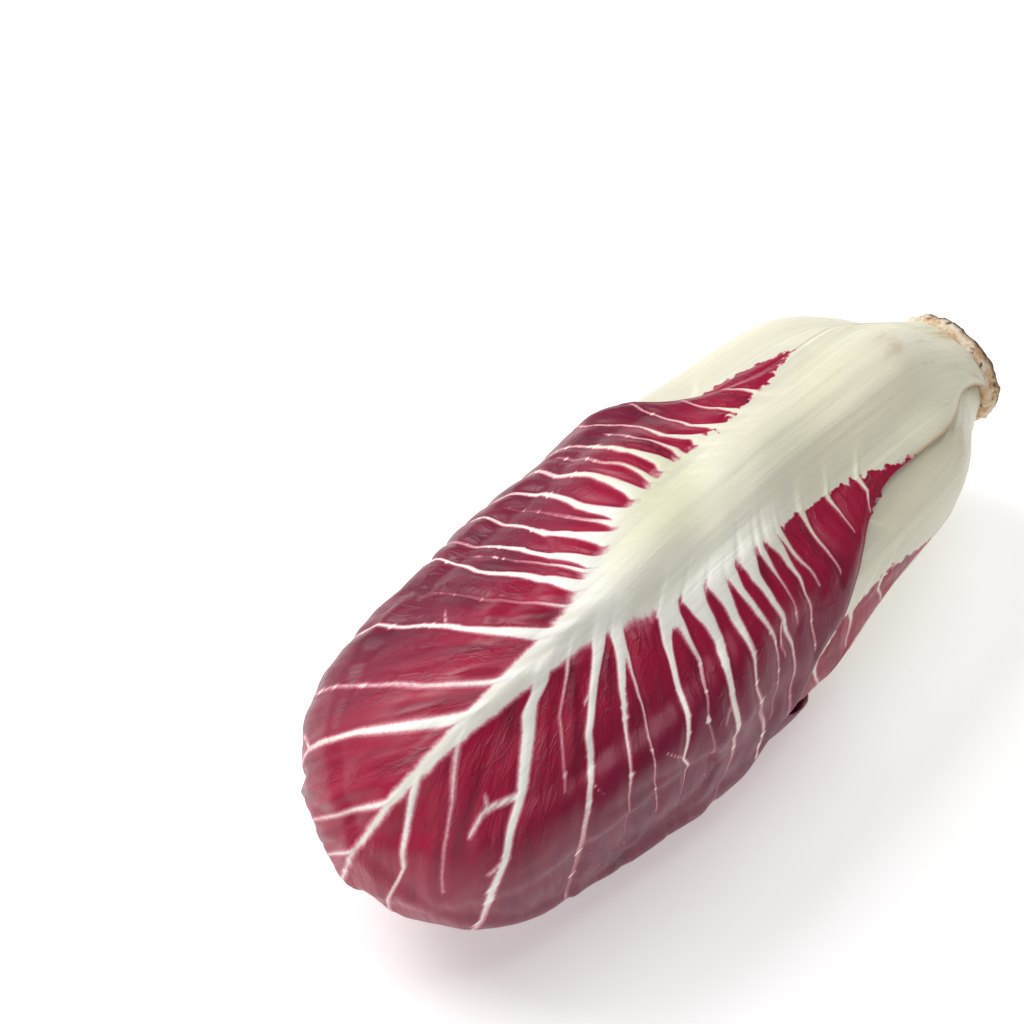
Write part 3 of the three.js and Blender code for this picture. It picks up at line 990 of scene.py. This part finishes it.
class Bench:
    """Makes the nodes of one material."""

    def __init__(self, name: str) -> None:
        """Starts an empty material."""
        self.material = bpy.data.materials.new(name)
        self.material.use_nodes = True
        self.tree = self.material.node_tree
        self.tree.nodes.clear()

    def node(self, kind: str, settings: dict | None = None, inputs: dict | None = None) -> bpy.types.Node:
        """Any node.

        Args:
            kind: the node's type.
            settings: what is set on the node itself, before its sockets.
            inputs: values or signals for its sockets, by name or number.

        Returns:
            The node.
        """
        made = self.tree.nodes.new(kind)
        for name, value in (settings or {}).items():
            setattr(made, name, value)
        for key, value in (inputs or {}).items():
            socket = made.inputs[key]
            if isinstance(value, Signal):
                self.tree.links.new(value.socket, socket)
            else:
                socket.default_value = value
        return made

    def signal(
        self, kind: str, settings: dict | None = None, inputs: dict | None = None, output: int | str = 0
    ) -> Signal:
        """One output of a new node, ready for expressions."""
        return Signal(self, self.node(kind, settings, inputs).outputs[output])

    def reading(self, name: str, output: str = "Fac") -> Signal:
        """What a piece's mesh holds under a name."""
        settings = {"attribute_type": "GEOMETRY", "attribute_name": name}
        return self.signal("ShaderNodeAttribute", settings, output=output)

    def scaled(self, vector: Signal, by: tuple[float, float, float]) -> Signal:
        """A vector stretched along each axis."""
        return self.signal("ShaderNodeVectorMath", {"operation": "MULTIPLY"}, {0: vector, 1: by})

    def noise(self, vector: Signal, scale: float, detail: float = 2.0, roughness: float = 0.5) -> Signal:
        """Smooth noise round 0.5."""
        inputs = {"Vector": vector, "Scale": scale, "Detail": detail, "Roughness": roughness}
        return self.signal("ShaderNodeTexNoise", {}, inputs)

    def rise(self, value: Signal, start: float, end: float, low: float = 0.0, high: float = 1.0) -> Signal:
        """Goes smoothly from low at start to high at end."""
        inputs = {"Value": value, "From Min": start, "From Max": end, "To Min": low, "To Max": high}
        return self.signal("ShaderNodeMapRange", {"interpolation_type": "SMOOTHSTEP"}, inputs)

    def blend(self, share: Signal | float, first: object, second: object) -> Signal:
        """From one colour to another."""
        return self.signal(
            "ShaderNodeMix", {"data_type": "RGBA"}, {0: share, 6: first, 7: second}, output=2
        )

    def layered(self, base: object, *layers: tuple[Signal, Tone]) -> Signal:
        """A colour with others laid over it, one after the other.

        Args:
            base: the first colour, as a signal or as the shader's own values.
            layers: how much of each further colour shows, and that colour from 0 to 255.

        Returns:
            The mixed colour.
        """
        for share, tone in layers:
            base = self.blend(share, base, linear(*tone))
        return base

    def least(self, first: Signal, second: Signal, softness: float) -> Signal:
        """The smaller of two distances, rounded where they meet."""
        inputs = {0: first, 1: second, 2: softness}
        return self.signal("ShaderNodeMath", {"operation": "SMOOTH_MIN"}, inputs)

    def bump(self, height: Signal, distance: float, strength: float = 1.0) -> Signal:
        """A normal from a height in units of the distance."""
        inputs = {"Height": height, "Distance": distance, "Strength": strength}
        return self.signal("ShaderNodeBump", {}, inputs)

    def surface(self, constants: dict, inputs: dict) -> bpy.types.Material:
        """Ends the material in one shader.

        Args:
            constants: values that are the same all over.
            inputs: signals that vary.

        Returns:
            The material.
        """
        shader = self.node("ShaderNodeBsdfPrincipled", {}, {**constants, **inputs})
        self.node("ShaderNodeOutputMaterial", {}, {"Surface": Signal(self, shader.outputs[0])})
        return self.material


@dataclass(frozen=True)
class LeafFinish:
    """White waxy rib and veins on a crimson blade."""

    name: str = "radicchio_leaf"
    white: Tone = (244, 241, 233)
    cream: Tone = (232, 227, 203)
    green: Tone = (224, 222, 186)
    # Grey of the fibre streaks along the rib, and also painted shade in the grooves between the veins.
    streak_grey_and_shade: Tone = (216, 212, 195)
    # Painted shade: the grey-green shadow of the fold along the middle of the rib.
    shade: Tone = (212, 210, 186)
    pink: Tone = (206, 122, 138)
    tan: Tone = (190, 150, 104)
    crimson: Tone = (158, 6, 54)
    wine: Tone = (120, 16, 52)
    dusk: Tone = (86, 10, 38)

    def pale_edge(self, bench: Bench) -> Signal:
        """Distance to the white of the rib and veins, uneven as on a grown leaf."""
        weave, spread = bench.reading("weave", "Vector"), bench.reading("spread", "Vector")
        rib, vein, fork = bench.reading("rib_edge"), bench.reading("vein_edge"), bench.reading("fork_edge")
        along = bench.reading("along")
        streak = bench.noise(bench.scaled(weave, (0.045, 0.3, 1.0)), 1.0, 2.0, 0.5)
        lobe = bench.noise(spread, 0.42, 2.0, 0.45)
        fleck = bench.noise(spread, 1.5, 2.0, 0.5) - 0.5
        feathered = bench.rise(along, 76.0, 112.0) * bench.rise(along, 140.0, 180.0, 5.0, 0.7)
        rib_line = rib + (streak - 0.5) * feathered + (lobe - 0.5) * bench.rise(along, 76.0, 160.0, 7.0, 0.8)
        crisp = bench.rise(along, 76.0, 112.0, 1.5, 0.42) + bench.rise(along, 150.0, 190.0, 0.0, 0.9)
        rib_line = (rib_line + fleck * bench.rise(along, 130.0, 180.0, 1.2, 0.5)) * crisp
        barb = bench.noise(bench.scaled(weave, (0.5, 0.11, 1.0)), 1.0, 1.0, 0.4)
        thorn = bench.rise(barb, 0.55, 0.86) * bench.rise(rib, 10.0, 24.0)
        vein_line = bench.least(vein - thorn, fork, 0.2) + fleck * 0.35
        return bench.least(rib_line, vein_line * 1.6, 0.6)

    def blade(self, bench: Bench, thread: Signal) -> Signal:
        """Colour of the blade: crimson at the rib, darker further out, in patches and along its net.

        Args:
            bench: the material's bench.
            thread: how much the fine net shows.

        Returns:
            The colour.
        """
        weave = bench.reading("weave", "Vector")
        patch = bench.noise(bench.scaled(weave, (0.035, 0.13, 1.0)), 1.0, 3.0, 0.55)
        return bench.layered(
            linear(*self.crimson),
            (bench.rise(bench.reading("rib_edge"), 6.0, 30.0), self.wine),
            (bench.rise(patch, 0.47, 0.75, 0.0, 0.7), self.dusk),
            (thread * 0.26, self.dusk),
        )

    def pale(self, bench: Bench, fibre: Signal) -> Signal:
        """Colour of the rib and veins: white at the tip, cream at the foot, stained at the root, with painted
        shade along the rib's middle and in the grooves between the veins.

        Args:
            bench: the material's bench.
            fibre: the streaks along the rib.

        Returns:
            The colour.
        """
        spread, along = bench.reading("spread", "Vector"), bench.reading("along")
        rib, vein, inside = bench.reading("rib_edge"), bench.reading("vein_edge"), bench.reading("inside")
        tint = bench.noise(bench.scaled(spread, (0.012, 0.035, 1.0)), 1.0, 2.0)
        stain = bench.noise(bench.scaled(spread, (0.05, 0.12, 1.0)), 1.0, 4.0, 0.65)
        green_share = bench.rise(tint, 0.5, 0.72) * bench.rise(along, 120.0, 160.0, 0.8, 0.15)
        # Painted shade: a grey-green shadow laid along the middle of the rib, between about 55 and 165 mm
        # along, where its fold lies.
        channel = bench.rise(rib, -16.0, -3.0, 0.75, 0.0) * bench.rise(tint, 0.3, 0.6, 0.55, 1.0)
        channel = channel * bench.rise(along, 55.0, 85.0) * bench.rise(along, 120.0, 165.0, 1.0, 0.0)
        # Painted shade: grey laid into the grooves between the vein flares near the rib's edge.
        groove_shade = bench.rise(vein, -0.3, 2.4, 0.0, 0.45) * bench.rise(rib, -15.0, -3.0)
        stained = bench.rise(stain, 0.53, 0.72) * bench.rise(along, 6.0, 44.0, 1.0, 0.0)
        rim = bench.rise(inside, 0.2, 1.3, 1.0, 0.0) * bench.rise(along, 30.0, 110.0, 0.75, 0.0)
        return bench.layered(
            linear(*self.white),
            (bench.rise(along, 60.0, 135.0, 1.0, 0.0), self.cream),
            (green_share, self.green),
            (bench.rise(fibre, 0.48, 0.8, 0.0, 0.6), self.streak_grey_and_shade),
            (channel, self.shade),
            (groove_shade, self.streak_grey_and_shade),
            (stained * 0.8, self.tan),
            (rim, self.tan),
        )

    def material(self) -> bpy.types.Material:
        """The finish, which reads how far each place is from a white edge."""
        bench = Bench(self.name)
        weave, spread = bench.reading("weave", "Vector"), bench.reading("spread", "Vector")
        pale_edge = self.pale_edge(bench)
        blush, red = bench.rise(pale_edge, -0.8, 0.1), bench.rise(pale_edge, -0.3, 0.75)
        warp = bench.noise(bench.scaled(weave, (0.12, 0.2, 1.0)), 1.0, 2.0, 0.5)
        stretch = {0: weave, 1: (0.2, 0.36, 1.0), 2: warp * 2.2}
        wound = bench.signal("ShaderNodeVectorMath", {"operation": "MULTIPLY_ADD"}, stretch)
        net_inputs = {"Vector": wound, "Scale": 1.0}
        net = bench.signal("ShaderNodeTexVoronoi", {"feature": "DISTANCE_TO_EDGE"}, net_inputs)
        patch = bench.noise(bench.scaled(weave, (0.03, 0.09, 1.0)), 1.0, 2.0, 0.5)
        ruffled = bench.rise(patch, 0.4, 0.62, 0.12, 1.0)
        thread = bench.rise(net, 0.0, 0.16, 1.0, 0.0) * ruffled
        fibre = bench.noise(bench.scaled(spread, (0.025, 0.75, 1.0)), 1.0, 3.0, 0.6)
        colour = bench.layered(self.pale(bench, fibre), (blush, self.pink))
        colour = bench.blend(red, colour, self.blade(bench, thread))
        wrinkle = bench.noise(bench.scaled(weave, (0.13, 0.4, 1.0)), 1.0, 3.0, 0.5)
        skin = bench.noise(spread, 2.2, 2.0, 0.5)
        height = wrinkle * 0.5 * red * ruffled - thread * 0.12 * red + skin * 0.05 + fibre * 0.3 * (1 - red)
        rough = bench.rise(wrinkle, 0.3, 0.7, 0.35, 0.48)
        return bench.surface(
            {
                "Specular IOR Level": 0.38,
                "Subsurface Weight": 0.1,
                "Subsurface Radius": (0.004, 0.002, 0.0015),
                "Subsurface Scale": 1.0,
                "Coat Roughness": 0.32,
                "Coat Weight": 0.12,
            },
            {"Base Color": colour, "Roughness": rough, "Normal": bench.bump(height, 0.0009, 0.75)},
        )


@dataclass(frozen=True)
class RootFinish:
    """The dried cut: tan, with brown edges and fibres."""

    name: str = "radicchio_cut_root"
    flesh: Tone = (244, 228, 204)
    dry: Tone = (216, 176, 130)
    ringed: Tone = (196, 150, 104)
    grained: Tone = (160, 108, 66)
    pitted: Tone = (104, 58, 32)
    rimmed: Tone = (78, 40, 24)

    def material(self) -> bpy.types.Material:
        """The finish, which darkens where the cut has dried."""
        bench = Bench(self.name)
        place = bench.signal("ShaderNodeTexCoord", {}, {}, output="Object")
        coarse = bench.noise(place, 150.0, 4.0, 0.65)
        fine = bench.noise(place, 900.0, 4.0, 0.7)
        behind, from_middle = bench.reading("behind"), bench.reading("from_middle")
        ring = bench.signal("ShaderNodeMath", {"operation": "SINE"}, {0: (from_middle + coarse * 3.0) * 2.6})
        pit = bench.noise(place, 420.0, 3.0, 0.6)
        rim = bench.rise(from_middle + (coarse - 0.5) * 4.0, 14.6, 16.0) * bench.rise(behind, 4.6, 6.4)
        colour = bench.layered(
            linear(*self.flesh),
            (bench.rise(coarse, 0.42, 0.62), self.dry),
            (bench.rise(ring, 0.2, 1.0, 0.0, 0.3), self.ringed),
            (bench.rise(fine, 0.52, 0.7, 0.0, 0.5), self.grained),
            (bench.rise(pit, 0.58, 0.66, 0.0, 0.85), self.pitted),
            (rim * 0.9, self.rimmed),
        )
        height = coarse * 0.6 + fine * 0.4 + ring * 0.06 - pit * 0.7
        return bench.surface(
            {"Specular IOR Level": 0.3},
            {
                "Base Color": colour,
                "Roughness": bench.rise(fine, 0.3, 0.7, 0.65, 0.9),
                "Normal": bench.bump(height, 0.0014, 0.9),
            },
        )


@dataclass(frozen=True)
class HeartFinish:
    """The pale pink leaves that close the heart, all but hidden."""

    name: str = "radicchio_heart"
    pale: Tone = (232, 222, 206)
    red: Tone = (140, 22, 52)

    def material(self) -> bpy.types.Material:
        """The finish, streaked along the head."""
        bench = Bench(self.name)
        place = bench.signal("ShaderNodeTexCoord", {}, {}, output="Object")
        streak = bench.noise(bench.scaled(place, (14.0, 160.0, 160.0)), 1.0, 4.0, 0.6)
        colour = bench.blend(bench.rise(streak, 0.4, 0.62), linear(*self.pale), linear(*self.red))
        return bench.surface(
            {"Specular IOR Level": 0.4},
            {
                "Base Color": colour,
                "Roughness": bench.rise(streak, 0.3, 0.7, 0.4, 0.55),
                "Normal": bench.bump(streak, 0.0006, 0.6),
            },
        )


@dataclass(frozen=True)
class TableFinish:
    """The plain white table."""

    name: str = "white_table"
    glow: float = 0.34

    def material(self) -> bpy.types.Material:
        """A matt white that shows only soft shadows."""
        bench = Bench(self.name)
        return bench.surface(
            {
                "Base Color": (0.92, 0.92, 0.92, 1.0),
                "Roughness": 0.8,
                "Specular IOR Level": 0.1,
                "Emission Color": (1.0, 1.0, 1.0, 1.0),
                "Emission Strength": self.glow,
            },
            {},
        )


# ---------------------------------------------------------------- the studio


@dataclass(frozen=True)
class SoftLight:
    """A square soft light that looks at the head."""

    name: str
    at: tuple[float, float, float]
    size: float
    power: float

    def place(self) -> bpy.types.Object:
        """Hangs the light in the scene."""
        lamp = bpy.data.lights.new(self.name, "AREA")
        lamp.shape = "SQUARE"
        lamp.size = self.size
        lamp.energy = self.power
        held = bpy.data.objects.new(self.name, lamp)
        held.location = self.at
        aim = Vector((0.0, 0.0, 0.04)) - Vector(self.at)
        held.rotation_euler = aim.to_track_quat("-Z", "Y").to_euler()
        bpy.context.scene.collection.objects.link(held)
        return held


@dataclass(frozen=True)
class Studio:
    """The table, the soft lights and the camera."""

    camera_at: tuple[float, float, float] = (-0.4290, -0.3573, 0.7666)
    looking_back: tuple[float, float, float] = (-0.4527, -0.4372, 0.7771)
    lens: float = 120.0
    table_side: float = 24.0
    sky: float = 0.12
    lights: tuple[SoftLight, ...] = (
        SoftLight("key_light", (-0.35, 1.25, 1.5), 1.3, 30.0),
        SoftLight("side_light", (-1.1, 1.7, 0.75), 1.5, 5.0),
        SoftLight("front_light", (-1.5, -0.9, 1.1), 1.6, 8.5),
        SoftLight("top_light", (0.3, -0.1, 1.9), 1.2, 13.0),
    )

    def table(self) -> None:
        """Lays the white table under the head."""
        flat = bmesh.new()
        bmesh.ops.create_grid(flat, x_segments=1, y_segments=1, size=self.table_side / 2)
        mesh = bpy.data.meshes.new("table")
        flat.to_mesh(mesh)
        flat.free()
        floor = bpy.data.objects.new("table", mesh)
        floor.data.materials.append(TableFinish().material())
        bpy.context.scene.collection.objects.link(floor)
        floor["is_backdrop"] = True

    def camera(self) -> None:
        """Sets the camera at the photograph's angle."""
        lens = bpy.data.cameras.new("camera")
        lens.lens = self.lens
        lens.sensor_width = 36.0
        lens.clip_start = 0.05
        holder = bpy.data.objects.new("camera", lens)
        holder.location = self.camera_at
        holder.rotation_euler = (-Vector(self.looking_back)).to_track_quat("-Z", "Y").to_euler()
        bpy.context.scene.collection.objects.link(holder)
        bpy.context.scene.camera = holder

    def surroundings(self) -> None:
        """A plain pale sky, so that no side of the head is black."""
        world = bpy.data.worlds.new("pale_sky")
        world.use_nodes = True
        ground = world.node_tree.nodes["Background"]
        ground.inputs[0].default_value = (1.0, 1.0, 1.0, 1.0)
        ground.inputs[1].default_value = self.sky
        bpy.context.scene.world = world
        bpy.context.scene.view_settings.view_transform = "Standard"

    def build(self) -> None:
        """Makes all of it."""
        self.table()
        self.camera()
        self.surroundings()
        for light in self.lights:
            light.place()


# ---------------------------------------------------------------- the head itself


@dataclass
class RadicchioHead:
    """All the pieces of the head, each in place of its solid."""

    wrapping: Wrapping = field(default_factory=Wrapping)
    meshes: dict[str, tuple[int, int]] = field(
        default_factory=lambda: {
            "leaf_1_top": (188, 448),
            "leaf_3_right": (150, 340),
            "leaf_5_left": (150, 340),
        }
    )
    plain_mesh: tuple[int, int] = (120, 300)
    habits: dict[str, dict] = field(
        default_factory=lambda: {
            "leaf_1_top": {"fold": 1.0},
            "leaf_3_right": {
                "pale_profile": (
                    (36.0, 46.0), (44.0, 21.5), (57.0, 14.0), (68.0, 9.0), (77.0, 11.0), (87.0, 15.0),
                    (94.0, 25.0), (108.0, 22.0), (130.0, 10.0), (180.0, 5.0), (230.0, 1.0),
                ),
                "pale_margin": 2.4,
            },
        }
    )

    def leaf(self, index: int, finish: bpy.types.Material) -> bpy.types.Object:
        """Builds one leaf and dresses it.

        Args:
            index: which leaf, counted from the innermost.
            finish: the leaves' material.

        Returns:
            The finished piece.
        """
        form = self.wrapping.leaves[index]
        habit = VeinHabit(seed=20 + index)
        veins = TOP_VEINS if form.name == "leaf_1_top" else habit.grown()
        columns, rows = self.meshes.get(form.name, self.plain_mesh)
        made = Leaf(
            self.wrapping,
            index,
            veins,
            TOP_FORKS if form.name == "leaf_1_top" else habit.forked(veins),
            seed=300 + 10 * index,
            columns=columns,
            rows=rows,
            **self.habits.get(form.name, {}),
        )
        piece = made.build()
        piece.data.materials.append(finish)
        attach(piece, "root")
        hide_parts(form.name)
        return piece

    def build(self) -> None:
        """Builds every piece and reports it."""
        finish = LeafFinish().material()
        for index in range(len(self.wrapping.leaves)):
            piece = self.leaf(index, finish)
            log.info("%s: %d faces", piece.name, len(piece.data.polygons))
        stub = RootStub(self.wrapping.head).build()
        stub.data.materials.append(RootFinish().material())
        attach(stub, "root")
        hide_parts("root_stub")
        log.info("%s: %d faces", stub.name, len(stub.data.polygons))
        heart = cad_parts["heart"]
        heart.data.materials.clear()
        heart.data.materials.append(HeartFinish().material())
        log.info("heart: dressed")


def main() -> None:
    """Builds the head and the studio."""
    logging.basicConfig(level=logging.INFO, format="%(name)s %(message)s")
    solid_box = [list(corner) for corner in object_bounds()]
    RadicchioHead().build()
    Studio().build()
    bpy.context.view_layer.update()
    {"solids": solid_box, "dressed": [list(corner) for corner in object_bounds()]}


if __name__ == "__main__":
    main()
